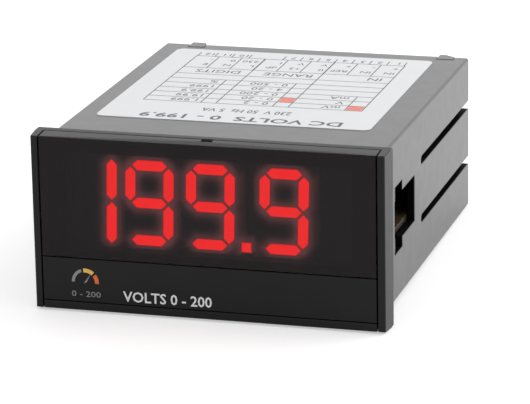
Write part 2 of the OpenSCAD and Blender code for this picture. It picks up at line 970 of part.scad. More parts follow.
module chip_leads() color("silver")
    for (i = [0 : chip_leads_per_side - 1], side = [0, 1])
        translate([chip_place(i), chip_y, board_top + socket_h])
            mirror([0, side, 0])
                translate([-lead_w / 2, 0, 0])
                    rotate([90, 0, 90])
                        linear_extrude(lead_w)
                            polygon([
                                [chip_w / 2, chip_h / 2 - lead_t / 2],
                                [chip_row / 2 + lead_t / 2 - lead_t, chip_h / 2 - lead_t / 2],
                                [chip_row / 2 + lead_t / 2 - lead_t, 0],
                                [chip_row / 2 + lead_t / 2, 0],
                                [chip_row / 2 + lead_t / 2, chip_h / 2 + lead_t / 2],
                                [chip_w / 2, chip_h / 2 + lead_t / 2]
                            ]);

// The stack of laminations with its two windows, about the transformer's middle.
module transformer_core() color("slategray")
    translate([transformer_x, transformer_y, transformer_z - core_h / 2])
        linear_extrude(core_h)
            difference() {
                square([core_w, core_l], center = true);
                for (side = [-1, 1])
                    translate([side * (core_leg / 2 + core_slot_w / 2), 0])
                        square([core_slot_w, core_slot_l], center = true);
            }

module transformer_bobbin() color("ivory")
    translate([transformer_x, transformer_y, transformer_z]) {
        leg_half_w = core_leg / 2 + bobbin_clear;
        leg_half_h = core_h / 2 + bobbin_clear;
        difference() {
            union() {
                along_y(-flange_half_l, flange_half_l)
                    square([2 * (leg_half_w + bobbin_t), 2 * (leg_half_h + bobbin_t)], center = true);
                for (y = [-flange_half_l, flange_half_l - flange_t])
                    along_y(y, y + flange_t)
                        square([2 * flange_half_w, 2 * bobbin_half_h], center = true);
                for (side = [0, 1])
                    mirror([0, side, 0])
                        block(
                            [-rail_half_w, flange_half_l - flange_t, board_top - transformer_z],
                            [rail_half_w, core_l / 2, -core_h / 2 - fit_gap]
                        );
            }
            along_y(-core_l, core_l)
                square([2 * leg_half_w, 2 * leg_half_h], center = true);
        }
    }

module transformer_winding() color("goldenrod")
    translate([transformer_x, transformer_y, transformer_z])
        along_y(-flange_half_l + flange_t, flange_half_l - flange_t)
            difference() {
                round_rect(
                    2 * (flange_half_w - winding_side_gap),
                    2 * (bobbin_half_h - winding_top_gap),
                    winding_r
                );
                square(
                    [core_leg + 2 * (bobbin_clear + bobbin_t), core_h + 2 * (bobbin_clear + bobbin_t)],
                    center = true
                );
            }

// Upright can with a rolled groove near its foot and a rounded top edge.
module filter_capacitors() color("navy") {
    groove_low = 1.6;
    groove_high = 2.9;
    groove_d = 0.5;
    slope = 0.4;
    rim_w = 0.7;
    rim_h = 0.3;
    r = filter_cap_d / 2;
    for (y = filter_cap_places)
        translate([filter_cap_x, y, board_top])
            rotate_extrude()
                polygon([
                    [0, 0],
                    [r - slope, 0],
                    [r, slope],
                    [r, groove_low],
                    [r - groove_d, groove_low + slope],
                    [r - groove_d, groove_high - slope],
                    [r, groove_high],
                    [r, filter_cap_h - groove_d],
                    [r - groove_d, filter_cap_h],
                    [r - groove_d - rim_w, filter_cap_h],
                    [r - groove_d - rim_w - rim_h, filter_cap_h - rim_h],
                    [0, filter_cap_h - rim_h]
                ]);
}

module film_capacitors() color("gold")
    for (place = film_places)
        translate([place[0], place[1], board_top + film_h / 2])
            cube([place[2], place[3], film_h], center = true);

// A row of leaded resistors lying across the board.
module resistors() color("tan")
    for (i = [0 : resistor_count - 1])
        translate([resistor_x + i * resistor_pitch, resistor_y, board_top + resistor_z]) {
            rotate([90, 0, 0])
                cylinder(d = resistor_d, h = resistor_l, center = true);
            rotate([90, 0, 0])
                cylinder(d = wire_d, h = resistor_span, center = true, $fn = 16);
            for (side = [-1, 1])
                translate([0, side * (resistor_span / 2 - wire_d / 2), -resistor_z])
                    cylinder(d = wire_d, h = resistor_z + wire_d / 2, $fn = 16);
        }

module rectifier() color("#222222")
    translate([rectifier_x, rectifier_y, board_top]) {
        translate([0, 0, rectifier_lift])
            cylinder(d = rectifier_d, h = rectifier_h);
        for (angle = [45 : 90 : 315])
            rotate(angle)
                translate([rectifier_d / 4, 0, 0])
                    cylinder(d = rectifier_wire_d, h = rectifier_lift + past, $fn = 16);
    }

module regulator_body() color("#222222")
    translate([regulator_x - regulator_w / 2, regulator_y, board_top + regulator_lift])
        cube([regulator_w, regulator_t, regulator_h]);

// The metal tab with its hole, and the three legs under the body.
module regulator_tab() color("silver")
    translate([regulator_x, regulator_y, board_top]) {
        difference() {
            translate([-regulator_w / 2, regulator_t, regulator_lift])
                cube([regulator_w, tab_t, tab_h]);
            translate([0, regulator_t + tab_t + past, tab_hole_z])
                rotate([90, 0, 0])
                    cylinder(d = tab_hole_d, h = tab_t + 2 * past);
        }
        for (x = [-leg_pitch, 0, leg_pitch])
            translate([x - leg_w / 2, leg_y, 0])
                cube([leg_w, leg_t, regulator_lift]);
    }

// The bent pins of the header, from the board to inside the plug's sockets.
module header_pin_row() {
    for (i = [0 : terminal_count - 1])
        translate([terminal_place(i) - header_pin_t / 2, 0, terminal_z])
            rotate([90, 0, 90])
                linear_extrude(header_pin_t)
                    polygon([
                        [pin_tip_y, -header_pin_t / 2],
                        [pin_tip_y, header_pin_t / 2],
                        [pin_drop_y, header_pin_t / 2],
                        [pin_drop_y, board_top - terminal_z],
                        [pin_drop_y + header_pin_t, board_top - terminal_z],
                        [pin_drop_y + header_pin_t, -header_pin_t / 2]
                    ]);
}

module terminal_header() color("green")
    difference() {
        block(
            [terminal_x - header_half_w - header_wall, header_front_y, board_top],
            [terminal_x + header_half_w + header_wall, header_back_y, header_top]
        );
        block(
            [terminal_x - header_half_w, header_floor_y, board_top + header_wall],
            [terminal_x + header_half_w, header_back_y + past, header_top - header_wall]
        );
        header_pin_row();
    }

module header_pins() color("silver")
    header_pin_row();

// The pull-off plug: a row of sockets inside the header, and wire entries and screw wells outside it.
module terminal_plug() color("green")
    difference() {
        union() {
            block(
                [terminal_x - block_half_w, plug_front_y, terminal_z - socket_half_h],
                [terminal_x + block_half_w, plug_body_y + past, terminal_z + socket_half_h]
            );
            along_x(terminal_x - plug_half_w, terminal_x + plug_half_w)
                polygon([
                    [plug_body_y, plug_low_z],
                    [plug_back_y, plug_low_z],
                    [plug_back_y, plug_top_z - plug_slope_h],
                    [plug_back_y - plug_slope_l, plug_top_z],
                    [plug_body_y + plug_chamfer, plug_top_z],
                    [plug_body_y, plug_top_z - plug_chamfer]
                ]);
        }
        for (i = [0 : terminal_count - 1])
            translate([terminal_place(i), 0, 0]) {
                block(
                    [-socket_half_w, plug_front_y - past, terminal_z - socket_low],
                    [socket_half_w, cage_front_y + past, terminal_z + socket_high]
                );
                block(
                    [-cage_w / 2 - cage_clear, cage_front_y - cage_clear, cage_low_z - cage_clear],
                    [cage_w / 2 + cage_clear, plug_back_y + past, cage_low_z + cage_h + cage_clear]
                );
                translate([0, cage_mid_y, terminal_z])
                    cylinder(d = screw_head_d + 2 * screw_clear, h = plug_h);
            }
    }

// The metal cage of each terminal, its thread and its contact tongue.
module terminal_clamps() color("silver")
    for (i = [0 : terminal_count - 1])
        translate([terminal_place(i), 0, 0]) {
            difference() {
                block(
                    [-cage_w / 2, cage_front_y, cage_low_z],
                    [cage_w / 2, cage_front_y + cage_l, cage_low_z + cage_h]
                );
                block(
                    [-cage_hole_w / 2, cage_front_y - past, cage_low_z + cage_t],
                    [cage_hole_w / 2, cage_front_y + cage_l + past, cage_low_z + cage_t + cage_hole_h]
                );
                translate([0, cage_mid_y, cage_low_z + cage_hole_h])
                    cylinder(d = screw_shank_d, h = cage_h);
            }
            translate([0, 0, terminal_z + contact_top - contact_t])
                linear_extrude(contact_t)
                    polygon([
                        [-header_pin_t / 2, plug_front_y + contact_end_gap],
                        [header_pin_t / 2, plug_front_y + contact_end_gap],
                        [header_pin_t / 2, cage_front_y],
                        [cage_hole_w / 2 + contact_foot_side, cage_front_y],
                        [cage_hole_w / 2 + contact_foot_side, cage_front_y + contact_foot_l],
                        [-cage_hole_w / 2 - contact_foot_side, cage_front_y + contact_foot_l],
                        [-cage_hole_w / 2 - contact_foot_side, cage_front_y],
                        [-header_pin_t / 2, cage_front_y]
                    ]);
        }

module terminal_screws() color("silver")
    for (i = [0 : terminal_count - 1])
        translate([terminal_place(i), cage_mid_y, 0])
            difference() {
                union() {
                    translate([0, 0, cage_low_z + cage_t + cage_hole_h])
                        cylinder(d = screw_shank_d, h = cage_h - cage_t - cage_hole_h + screw_tip);
                    translate([0, 0, cage_low_z + cage_h + cage_clear])
                        cylinder(d = screw_head_d, h = screw_head_h);
                }
                translate([0, 0, cage_low_z + cage_h + cage_clear + screw_head_h])
                    cube([screw_slot_w, screw_head_d + past, 2 * screw_slot_d], center = true);
            }

// One soldered end: a cone with its wide end on the underside of the main board.
module solder_cone(tip_r, foot_r, height) {
    translate([0, 0, board_low - height])
        cylinder(r1 = tip_r, r2 = foot_r, h = height, $fn = 16);
}

// Soldered ends under the main board, below each row of pins.
module solder_joints() color("silver") {
    for (i = [0 : terminal_count - 1])
        translate([terminal_place(i), pin_drop_y + header_pin_t / 2, 0])
            solder_cone(0.4, 0.9, solder_h);
    for (i = [0 : link_count - 1])
        translate([link_place(i), link_drop_y - pin_t / 2, 0])
            solder_cone(0.3, 0.8, small_solder_h);
}

module rating_label() color("white")
    translate([label_x, label_front + label_l / 2, body_h / 2])
        linear_extrude(label_t)
            round_rect(label_w, label_l, label_r);

housing();
rear_cover();
front_frame();
insert_carrier();
display_window();
legend_plate();
display_board();
half_digit();
left_digit();
middle_digit();
right_digit();
point_lamp();
lit_segments();
dark_segments();
zero_trimmer_body();
zero_trimmer_rotor();
span_trimmer_body();
span_trimmer_rotor();
main_board();
link_strip();
link_pins();
chip_socket();
converter_chip();
chip_leads();
transformer_core();
transformer_bobbin();
transformer_winding();
filter_capacitors();
film_capacitors();
resistors();
rectifier();
regulator_body();
regulator_tab();
terminal_header();
header_pins();
terminal_plug();
terminal_clamps();
terminal_screws();
solder_joints();
rating_label();
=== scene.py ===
import json
import math

import bmesh
import bpy
import numpy as np
from mathutils import Matrix, Vector


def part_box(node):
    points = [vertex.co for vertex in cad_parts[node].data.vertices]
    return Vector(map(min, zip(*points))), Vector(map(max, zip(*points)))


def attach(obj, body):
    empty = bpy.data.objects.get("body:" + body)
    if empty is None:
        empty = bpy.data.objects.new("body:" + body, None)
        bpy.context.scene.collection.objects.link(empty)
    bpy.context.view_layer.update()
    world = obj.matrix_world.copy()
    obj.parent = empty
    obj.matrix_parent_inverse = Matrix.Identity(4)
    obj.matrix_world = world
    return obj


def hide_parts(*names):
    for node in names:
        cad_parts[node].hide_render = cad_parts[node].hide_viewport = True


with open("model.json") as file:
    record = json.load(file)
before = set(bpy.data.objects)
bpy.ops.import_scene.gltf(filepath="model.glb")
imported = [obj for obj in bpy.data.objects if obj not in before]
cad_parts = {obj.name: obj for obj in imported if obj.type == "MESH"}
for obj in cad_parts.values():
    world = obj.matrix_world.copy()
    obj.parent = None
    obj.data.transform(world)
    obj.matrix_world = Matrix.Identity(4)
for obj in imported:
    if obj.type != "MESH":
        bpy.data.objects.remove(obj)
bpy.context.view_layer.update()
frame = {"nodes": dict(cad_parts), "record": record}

# The look of the digital panel meter, in the part's own frame. Lengths are in metres, except on
# the printed faces, which are laid out in millimetres.
MM = 0.001
BODY_OF = {
    node: body
    for body, nodes in frame["record"]["behaviour"]["bodies"].items()
    for node in nodes
}
SLOT_OF = {node: obj.data.materials[0].name for node, obj in frame["nodes"].items()}


# ---------------------------------------------------------------- materials

# The window takes most of the light that crosses it twice, so what glows behind it is stronger.
WINDOW_ALPHA = 0.72
WINDOW_PASSES = (1 - WINDOW_ALPHA) ** 2
SEGMENT_RED = (1.0, 0.009, 0.009)
SEGMENT_STRENGTH = 0.80 / WINDOW_PASSES
# Painted glow: the red that the module faces and the window's back give off stands in for the
# segments' light falling on them.
PAINTED_SPILL_RED = (1.0, 0.30, 0.33)
PAINTED_SPILL_STRENGTH = 0.053 / WINDOW_PASSES
# Painted haze: strength of the glow given to the window's back, standing in for scattered segment
# light.
PAINTED_HAZE_STRENGTH = 0.012 / (WINDOW_ALPHA * (1 - WINDOW_ALPHA))

# Most values of a noise texture lie between these.
NOISE_LOW, NOISE_HIGH = 0.3, 0.7

# Moulded plastic: size of its patches of shade and of gloss, and of its slow waves.
SHADE_PATCH, GLOSS_PATCH, WAVE = 9 * MM, 4 * MM, 16 * MM
WAVE_HEIGHT = 0.004 * MM

# How far the roughness strays from its mean.
MOULDED_STRAY, METAL_STRAY, INK_STRAY = 0.03, 0.04, 0.05
INK_ROUGHNESS = 0.45


class Finish:
    """A Principled material. Constants sit on the shader itself and patterns come from nodes."""

    def __init__(self, name, color, roughness, **sockets):
        self.material = bpy.data.materials.new(name)
        self.material.use_nodes = True
        self.nodes = self.material.node_tree.nodes
        self.links = self.material.node_tree.links
        self.bsdf = self.nodes["Principled BSDF"]
        self.color = color
        self.bsdf.inputs["Base Color"].default_value = (*color, 1)
        self.bsdf.inputs["Roughness"].default_value = roughness
        for socket, value in sockets.items():
            self.bsdf.inputs[socket.replace("_", " ")].default_value = value
        self.place = self.nodes.new("ShaderNodeTexCoord").outputs["Object"]

    def node(self, kind, settings=(), inputs=()):
        """Adds a node. An input is a constant, or the socket that feeds it."""
        made = self.nodes.new("ShaderNode" + kind)
        for key, value in dict(settings).items():
            setattr(made, key, value)
        for key, value in dict(inputs).items():
            if isinstance(value, bpy.types.NodeSocket):
                self.links.new(value, made.inputs[key])
            else:
                made.inputs[key].default_value = value
        return made

    def noise(self, size, detail=3, stretch=(1, 1, 1)):
        """Noise whose features are about size across, in metres."""
        spread = self.node("Mapping", inputs={"Vector": self.place, "Scale": stretch})
        return self.node("TexNoise", inputs={
            "Vector": spread.outputs["Vector"], "Scale": 1 / size, "Detail": detail,
        }).outputs["Fac"]

    def stored(self, name):
        """A value stored at the corners of the mesh."""
        return self.node("Attribute", {"attribute_name": name}).outputs["Fac"]

    def ramp(self, value, low, high, to_low=0, to_high=1):
        """Maps value from the range low..high to to_low..to_high, clamped."""
        return self.node("MapRange", inputs={
            "Value": value, "From Min": low, "From Max": high,
            "To Min": to_low, "To Max": to_high,
        }).outputs["Result"]

    def patches(self, noise, low=0, high=1):
        """Spreads a noise over the range low..high."""
        return self.ramp(noise, NOISE_LOW, NOISE_HIGH, low, high)

    def math(self, operation, a, b):
        return self.node("Math", {"operation": operation}, {0: a, 1: b}).outputs["Value"]

    def mix(self, factor, a, b):
        """Mixes two colours, each a socket or an RGB triple."""
        colors = [c if isinstance(c, bpy.types.NodeSocket) else (*c, 1) for c in (a, b)]
        return self.node("Mix", {"data_type": "RGBA"}, {
            "Factor": factor, 6: colors[0], 7: colors[1],
        }).outputs[2]

    def set(self, socket, value):
        self.links.new(value, self.bsdf.inputs[socket])

    def mottle(self, size, amount):
        """Lightens and darkens the colour a little in soft patches."""
        dark, light = [
            tuple(min(1, c * k) for c in self.color) for k in (1 - amount, 1 + amount)
        ]
        return self.mix(self.patches(self.noise(size)), dark, light)

    def bump(self, height, depth, onto=None):
        made = self.node("Bump", inputs={"Height": height, "Distance": depth, "Strength": 1})
        if onto:
            self.links.new(onto, made.inputs["Normal"])
        return made.outputs["Normal"]

    def vary_roughness(self, noise, mean, stray):
        self.set("Roughness", self.patches(noise, mean - stray, mean + stray))

    def moulded(self, grain, depth, mottle):
        """Moulded plastic: fine spark texture, soft changes of shade and of gloss."""
        self.set("Base Color", self.mottle(SHADE_PATCH, mottle))
        mean = self.bsdf.inputs["Roughness"].default_value
        self.vary_roughness(self.noise(GLOSS_PATCH), mean, MOULDED_STRAY)
        fine = self.bump(self.noise(grain, detail=4), depth)
        self.set("Normal", self.bump(self.noise(WAVE, detail=1), WAVE_HEIGHT, fine))
        return self


def case_plastic(name):
    """Black plastic with a satin skin, which shines grey where it is seen at a low angle."""
    made = Finish(
        name, (0.034, 0.034, 0.035), 0.32,
        IOR=1.40, Coat_Weight=0.97, Coat_IOR=1.40, Coat_Roughness=0.31,
    )
    return made.moulded(0.35 * MM, 0.003 * MM, 0.06)


def bezel_plastic(name):
    made = Finish(
        name, (0.004, 0.004, 0.0042), 0.22,
        IOR=1.33, Coat_Weight=0.15, Coat_IOR=1.35, Coat_Roughness=0.22,
    )
    return made.moulded(0.22 * MM, 0.002 * MM, 0.10)


def window_filter(name):
    """Dark filter with wiping marks; a faint painted red glow on its back stands in for the segments'
    light that it scatters.
    """
    made = Finish(
        name, (0.013, 0.0095, 0.0105), 0.16,
        Alpha=WINDOW_ALPHA, IOR=1.33, Emission_Color=(*PAINTED_SPILL_RED, 1),
    )
    haze = made.ramp(made.noise(22 * MM, detail=2), 0.35, 0.65, 0.13, 0.19)
    marks = made.noise(0.5 * MM, detail=2, stretch=(0.05, 1, 1))
    wiped = made.ramp(marks, 0.45, 0.75, 0, 0.015)
    made.set("Roughness", made.math("ADD", haze, wiped))
    made.set("Base Color", made.mottle(18 * MM, 0.15))
    made.set("Normal", made.bump(made.noise(26 * MM, detail=1), 0.004 * MM))
    # Painted glow on the window's back, from the stored values.
    made.set("Emission Strength", made.math("MULTIPLY", made.stored("painted_spill"), PAINTED_HAZE_STRENGTH))
    return made


def legend_black(name):
    made = Finish(name, (0.0085, 0.0083, 0.0086), 0.35, IOR=1.31)
    return made.moulded(0.16 * MM, 0.002 * MM, 0.10)


def display_face(name, color, roughness):
    """Face of a display module, with a painted red glow that stands in for the light of the lit
    segments falling on it.
    """
    made = Finish(name, color, roughness, Emission_Color=(*PAINTED_SPILL_RED, 1))
    made.moulded(0.2 * MM, 0.002 * MM, 0.1)
    painted_spill = made.stored("painted_spill")
    cloudy = made.ramp(
        made.noise(4 * MM), 0.25, 0.75, 0.95 * PAINTED_SPILL_STRENGTH, 1.05 * PAINTED_SPILL_STRENGTH
    )
    made.set("Emission Strength", made.math("MULTIPLY", painted_spill, cloudy))
    return made


def segment_lit(name):
    """Lit diffuser, which dims towards its rim."""
    made = Finish(name, (0.20, 0.010, 0.010), 0.35, Emission_Color=(*SEGMENT_RED, 1))
    glow = made.stored("glow")
    cloudy = made.ramp(
        made.noise(3 * MM, detail=2), 0.2, 0.8, 0.97 * SEGMENT_STRENGTH, 1.03 * SEGMENT_STRENGTH
    )
    made.set("Emission Strength", made.math("MULTIPLY", glow, cloudy))
    made.set("Base Color", made.mottle(1.0 * MM, 0.08))
    made.set("Normal", made.bump(made.noise(0.2 * MM), 0.002 * MM))
    return made


def board(name, mask, copper, roughness):
    """A lacquered circuit board: raised, lighter traces show under the mask, and round pads."""
    made = Finish(name, mask, roughness, Coat_Weight=0.35, Coat_Roughness=0.12)
    along = made.node("TexBrick", {"offset": 0.5, "squash": 1.0}, {
        "Vector": made.place, "Scale": 1 / (24 * MM), "Mortar Size": 0.012, "Mortar Smooth": 0.2,
        "Bias": 0.0, "Brick Width": 0.42, "Row Height": 0.11,
        "Color1": (0, 0, 0, 1), "Color2": (0.25, 0.25, 0.25, 1), "Mortar": (1, 1, 1, 1),
    }).outputs["Color"]
    pads = made.node("TexVoronoi", {"feature": "F1"}, {
        "Vector": made.place, "Scale": 1 / (5.08 * MM), "Randomness": 0.6,
    }).outputs["Distance"]
    dots = made.ramp(pads, 0.14, 0.18, 1, 0)
    trace = made.ramp(along, 0.5, 0.8)
    shaded = made.mix(trace, made.mottle(12 * MM, 0.08), copper)
    made.set("Base Color", made.mix(dots, shaded, tuple(1.5 * c for c in copper)))
    weave = made.bump(made.noise(0.5 * MM), 0.004 * MM)
    made.set("Normal", made.bump(made.math("MAXIMUM", trace, dots), 0.03 * MM, weave))
    return made


def smooth_plastic(name, color, roughness):
    return Finish(name, color, roughness).moulded(0.3 * MM, 0.003 * MM, 0.05)


def metal(name, color, roughness):
    """Bare or plated metal with fine marks and slightly tarnished patches."""
    made = Finish(name, color, roughness, Metallic=1.0)
    marks = made.noise(0.12 * MM)
    made.vary_roughness(marks, roughness, METAL_STRAY)
    made.set("Base Color", made.mottle(2.5 * MM, 0.10))
    made.set("Normal", made.bump(marks, 0.003 * MM))
    return made


def core_steel(name):
    """Varnished laminations, stacked upwards."""
    made = Finish(name, (0.055, 0.058, 0.066), 0.38, Metallic=0.6)
    sheets = made.node("TexWave", {"bands_direction": "Z"}, {
        "Vector": made.place, "Scale": 1 / (3.2 * MM), "Distortion": 0.3, "Detail": 1,
    }).outputs["Fac"]
    seams = made.ramp(sheets, 0.05, 0.35)
    made.set("Base Color", made.mix(seams, (0.015, 0.015, 0.018), made.mottle(5 * MM, 0.2)))
    varnish = made.bump(made.noise(0.4 * MM), 0.01 * MM)
    made.set("Normal", made.bump(sheets, 0.03 * MM, varnish))
    return made


def winding_tape(name):
    """Polyester tape, wound round with overlapping turns."""
    made = Finish(name, (0.70, 0.46, 0.05), 0.22, Coat_Weight=0.4, Coat_Roughness=0.1)
    turns = made.node("TexWave", {"bands_direction": "Y", "wave_profile": "SAW"}, {
        "Vector": made.place, "Scale": 1 / (28 * MM), "Distortion": 0.6, "Detail": 1,
    }).outputs["Fac"]
    laps = made.ramp(turns, 0.0, 0.12)
    made.set("Base Color", made.mix(laps, (0.50, 0.30, 0.03), made.mottle(4 * MM, 0.1)))
    wires = made.bump(made.noise(1.5 * MM), 0.02 * MM)
    made.set("Normal", made.bump(turns, 0.06 * MM, wires))
    return made


def capacitor_sleeve(name):
    """Shrunk sleeve with faint vertical creases."""
    made = Finish(name, (0.012, 0.020, 0.075), 0.25, Coat_Weight=0.5, Coat_Roughness=0.08)
    creases = made.noise(1.2 * MM, detail=2, stretch=(1, 1, 0.08))
    made.set("Base Color", made.mottle(6 * MM, 0.12))
    made.set("Normal", made.bump(creases, 0.02 * MM))
    return made


def label_white(name):
    """Satin printed film, with a faint fibre and a slightly uneven coat."""
    made = Finish(name, (0.84, 0.85, 0.865), 0.40, IOR=1.40)
    made.set("Base Color", made.mottle(16 * MM, 0.010))
    made.set("Roughness", made.patches(made.noise(6 * MM), 0.36, 0.46))
    fibre = made.bump(made.noise(0.3 * MM, detail=4, stretch=(1, 0.4, 1)), 0.002 * MM)
    made.set("Normal", made.bump(made.noise(20 * MM, detail=1), 0.01 * MM, fibre))
    return made


def ink(name, color):
    """Screen-printed ink: slightly uneven in cover."""
    made = Finish(name, color, INK_ROUGHNESS, IOR=1.40)
    made.set("Base Color", made.mottle(1.1 * MM, 0.07))
    made.vary_roughness(made.noise(0.8 * MM), INK_ROUGHNESS, INK_STRAY)
    made.set("Normal", made.bump(made.noise(0.15 * MM), 0.002 * MM))
    return made.material


# For each material slot, what makes its finish, and the colours and roughness that it takes.
FINISHES = {
    "case_plastic": (case_plastic,),
    "bezel_plastic": (bezel_plastic,),
    "window_filter": (window_filter,),
    "legend_black": (legend_black,),
    "display_grey": (display_face, (0.030, 0.028, 0.028), 0.60),
    "segment_lit": (segment_lit,),
    "segment_dark": (display_face, (0.034, 0.029, 0.029), 0.50),
    "board_green": (board, (0.018, 0.10, 0.040), (0.035, 0.17, 0.07), 0.35),
    "board_brown": (board, (0.034, 0.024, 0.014), (0.060, 0.040, 0.022), 0.45),
    "trimmer_blue": (smooth_plastic, (0.012, 0.060, 0.30), 0.34),
    "rotor_white": (smooth_plastic, (0.72, 0.71, 0.64), 0.4),
    "socket_black": (smooth_plastic, (0.018, 0.018, 0.019), 0.45),
    "chip_epoxy": (smooth_plastic, (0.022, 0.022, 0.024), 0.55),
    "tinned_metal": (metal, (0.66, 0.66, 0.64), 0.34),
    "gold_pins": (metal, (0.80, 0.58, 0.22), 0.22),
    "core_steel": (core_steel,),
    "bobbin_ivory": (smooth_plastic, (0.70, 0.65, 0.50), 0.45),
    "winding_tape": (winding_tape,),
    "capacitor_sleeve": (capacitor_sleeve,),
    "film_yellow": (smooth_plastic, (0.72, 0.42, 0.03), 0.35),
    "resistor_tan": (smooth_plastic, (0.50, 0.35, 0.19), 0.4),
    "terminal_green": (smooth_plastic, (0.022, 0.19, 0.055), 0.42),
    "label_white": (label_white,),
}
MATERIALS = {slot: make(slot, *values).material for slot, (make, *values) in FINISHES.items()}


# ---------------------------------------------------------------- meshes and pieces

# Bevel along the corner edges of each node's piece, in millimetres.
EDGE_MM = {
    "housing": 0.16, "rear_cover": 0.12, "front_frame": 0.14, "insert_carrier": 0.12,
    "display_window": 0.14, "legend_plate": 0.10, "display_board": 0.06, "main_board": 0.08,
    "half_digit": 0.03, "left_digit": 0.03, "middle_digit": 0.03, "right_digit": 0.03,
    "point_lamp": 0.05, "lit_segments": 0.04, "dark_segments": 0.04, "link_strip": 0.06,
    "chip_socket": 0.12, "converter_chip": 0.18, "transformer_core": 0.10,
    "transformer_bobbin": 0.12, "film_capacitors": 0.35, "regulator_body": 0.15,
    "terminal_header": 0.10, "terminal_plug": 0.14, "zero_trimmer_body": 0.2,
    "span_trimmer_body": 0.2, "rating_label": 0.02,
}
CORNER = math.radians(60)      # edges that turn more than this are bevelled
SHARP = math.radians(35)       # edges that turn more than this stay sharp in the shading
FLAT = math.radians(0.5)       # faces that turn less than this are joined as one flat face
WELD, WELD_LETTERS = 1e-6, 1e-7
GRID_SNAP = 1e-7

# How far along an axis a face's normal points when the face counts as turned that way.
PARTLY, MOSTLY, SQUARELY = 0.5, 0.9, 0.99

# The half digit's two strokes stand as tall as the other digits, and all but meet in the middle.
ONE_LEFT, ONE_RIGHT = -28.4 * MM, -24.3 * MM
ONE_LOW, ONE_MIDDLE, ONE_HIGH = -5.2 * MM, 6.5 * MM, 18.0 * MM
ONE_HALF_GAP = 0.11 * MM


def level_of(vert):
    """Height to a hundredth of a millimetre, so that corners on one level compare as equal."""
    return round(vert.co.z, 5)


def raise_strokes(mesh):
    """Lengthens the strokes of the half digit, or the pockets they lie in, along their lean."""
    ends = [v for v in mesh.verts if ONE_LEFT < v.co.x < ONE_RIGHT]
    was = sorted({level_of(v) for v in ends})
    point = was[1] - was[0]
    top, low = ONE_MIDDLE + ONE_HALF_GAP, ONE_MIDDLE - ONE_HALF_GAP
    now = [ONE_LOW, ONE_LOW + point, low - point, low, top, top + point, ONE_HIGH - point, ONE_HIGH]
    foot, tip = [next(v.co for v in ends if level_of(v) == level) for level in (was[0], was[-1])]
    lean = (tip.x - foot.x) / (tip.z - foot.z)
    for v in ends:
        height = now[was.index(level_of(v))]
        v.co = Vector((v.co.x + lean * (height - v.co.z), v.co.y, height))


def welded_mesh(node):
    mesh = bmesh.new()
    mesh.from_mesh(frame["nodes"][node].data)
    bmesh.ops.remove_doubles(mesh, verts=mesh.verts, dist=WELD)
    if node in ("half_digit", "lit_segments"):
        raise_strokes(mesh)
    return mesh


def join_flat_faces(mesh):
    bmesh.ops.dissolve_limit(
        mesh, angle_limit=FLAT, use_dissolve_boundaries=False, verts=mesh.verts, edges=mesh.edges
    )


def round_edges(mesh, width):
    """Bevels every corner edge to width in metres, and leaves the facets of round forms."""
    corners = [e for e in mesh.edges if len(e.link_faces) == 2 and e.calc_face_angle() > CORNER]
    bmesh.ops.bevel(
        mesh, geom=corners, offset=width, offset_type="OFFSET", segments=2, profile=0.5,
        affect="EDGES", clamp_overlap=False, miter_outer="ARC", miter_inner="SHARP",
    )


def cut_finely(mesh, wanted, step):
    """Cuts the wanted faces along a square grid seen from the front."""
    for axis, normal in ((0, Vector((1, 0, 0))), (2, Vector((0, 0, 1)))):
        low = min(v.co[axis] for v in mesh.verts)
        high = max(v.co[axis] for v in mesh.verts)
        for i in range(1, int((high - low) / step)):
            faces = [f for f in mesh.faces if wanted(f)]
            edges = list({e for f in faces for e in f.edges})
            corners = list({v for f in faces for v in f.verts})
            bmesh.ops.bisect_plane(
                mesh, geom=faces + edges + corners, dist=GRID_SNAP,
                plane_co=normal * (low + i * step), plane_no=normal,
            )


def make_piece(name, mesh, body, materials, replaced=()):
    """Turns a bmesh into a shown piece that rides on a body."""
    data = bpy.data.meshes.new(name)
    mesh.to_mesh(data)
    mesh.free()
    for material in materials:
        data.materials.append(material)
    data.shade_smooth()
    data.set_sharp_from_angle(angle=SHARP)
    piece = bpy.data.objects.new(name, data)
    bpy.context.scene.collection.objects.link(piece)
    weighted = piece.modifiers.new("even shading", "WEIGHTED_NORMAL")
    weighted.keep_sharp = True
    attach(piece, body)
    if replaced:
        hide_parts(*replaced)


# ---------------------------------------------------------------- light of the segments

# Painted glow on the display modules and the window's back: which modules take it, how far it reaches
# and how finely it is stored.
PAINTED_SPILL_NODES = [
    "half_digit", "left_digit", "middle_digit", "right_digit", "point_lamp", "dark_segments",
]
SPILL_REACH, SPILL_STEP = 1.35 * MM, 0.4 * MM
SPILL_MOST = 1.3
SPILL_DEPTH = 0.1 * MM
HAZE_REACH, HAZE_STEP = 2.0 * MM, 0.7 * MM
BEHIND_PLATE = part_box("display_window")[0].y + 2.5 * MM
RIM_WIDTH, RIM_GLOW = 0.20 * MM, 0.14


def lit_outlines():
    """Front outlines of the lit diffusers, as lists of corners in x and z."""
    mesh = welded_mesh("lit_segments")
    join_flat_faces(mesh)
    outlines = [
        np.array([(v.co.x, v.co.z) for v in face.verts])
        for face in mesh.faces
        if face.normal.y < -MOSTLY
    ]
    mesh.free()
    return outlines


LIT = lit_outlines()


def distance_to(outline, points):
    """Distance from each point to a convex outline, 0 inside it."""
    start, end = outline, np.roll(outline, -1, axis=0)
    side = end - start
    away = points[:, None, :] - start[None, :, :]
    share = np.clip((away * side).sum(2) / (side * side).sum(1), 0, 1)
    gap = np.linalg.norm(away - share[:, :, None] * side, axis=2).min(1)
    turn = side[:, 0] * away[:, :, 1] - side[:, 1] * away[:, :, 0]
    inside = (turn >= 0).all(1) | (turn <= 0).all(1)
    return np.where(inside, 0, gap)


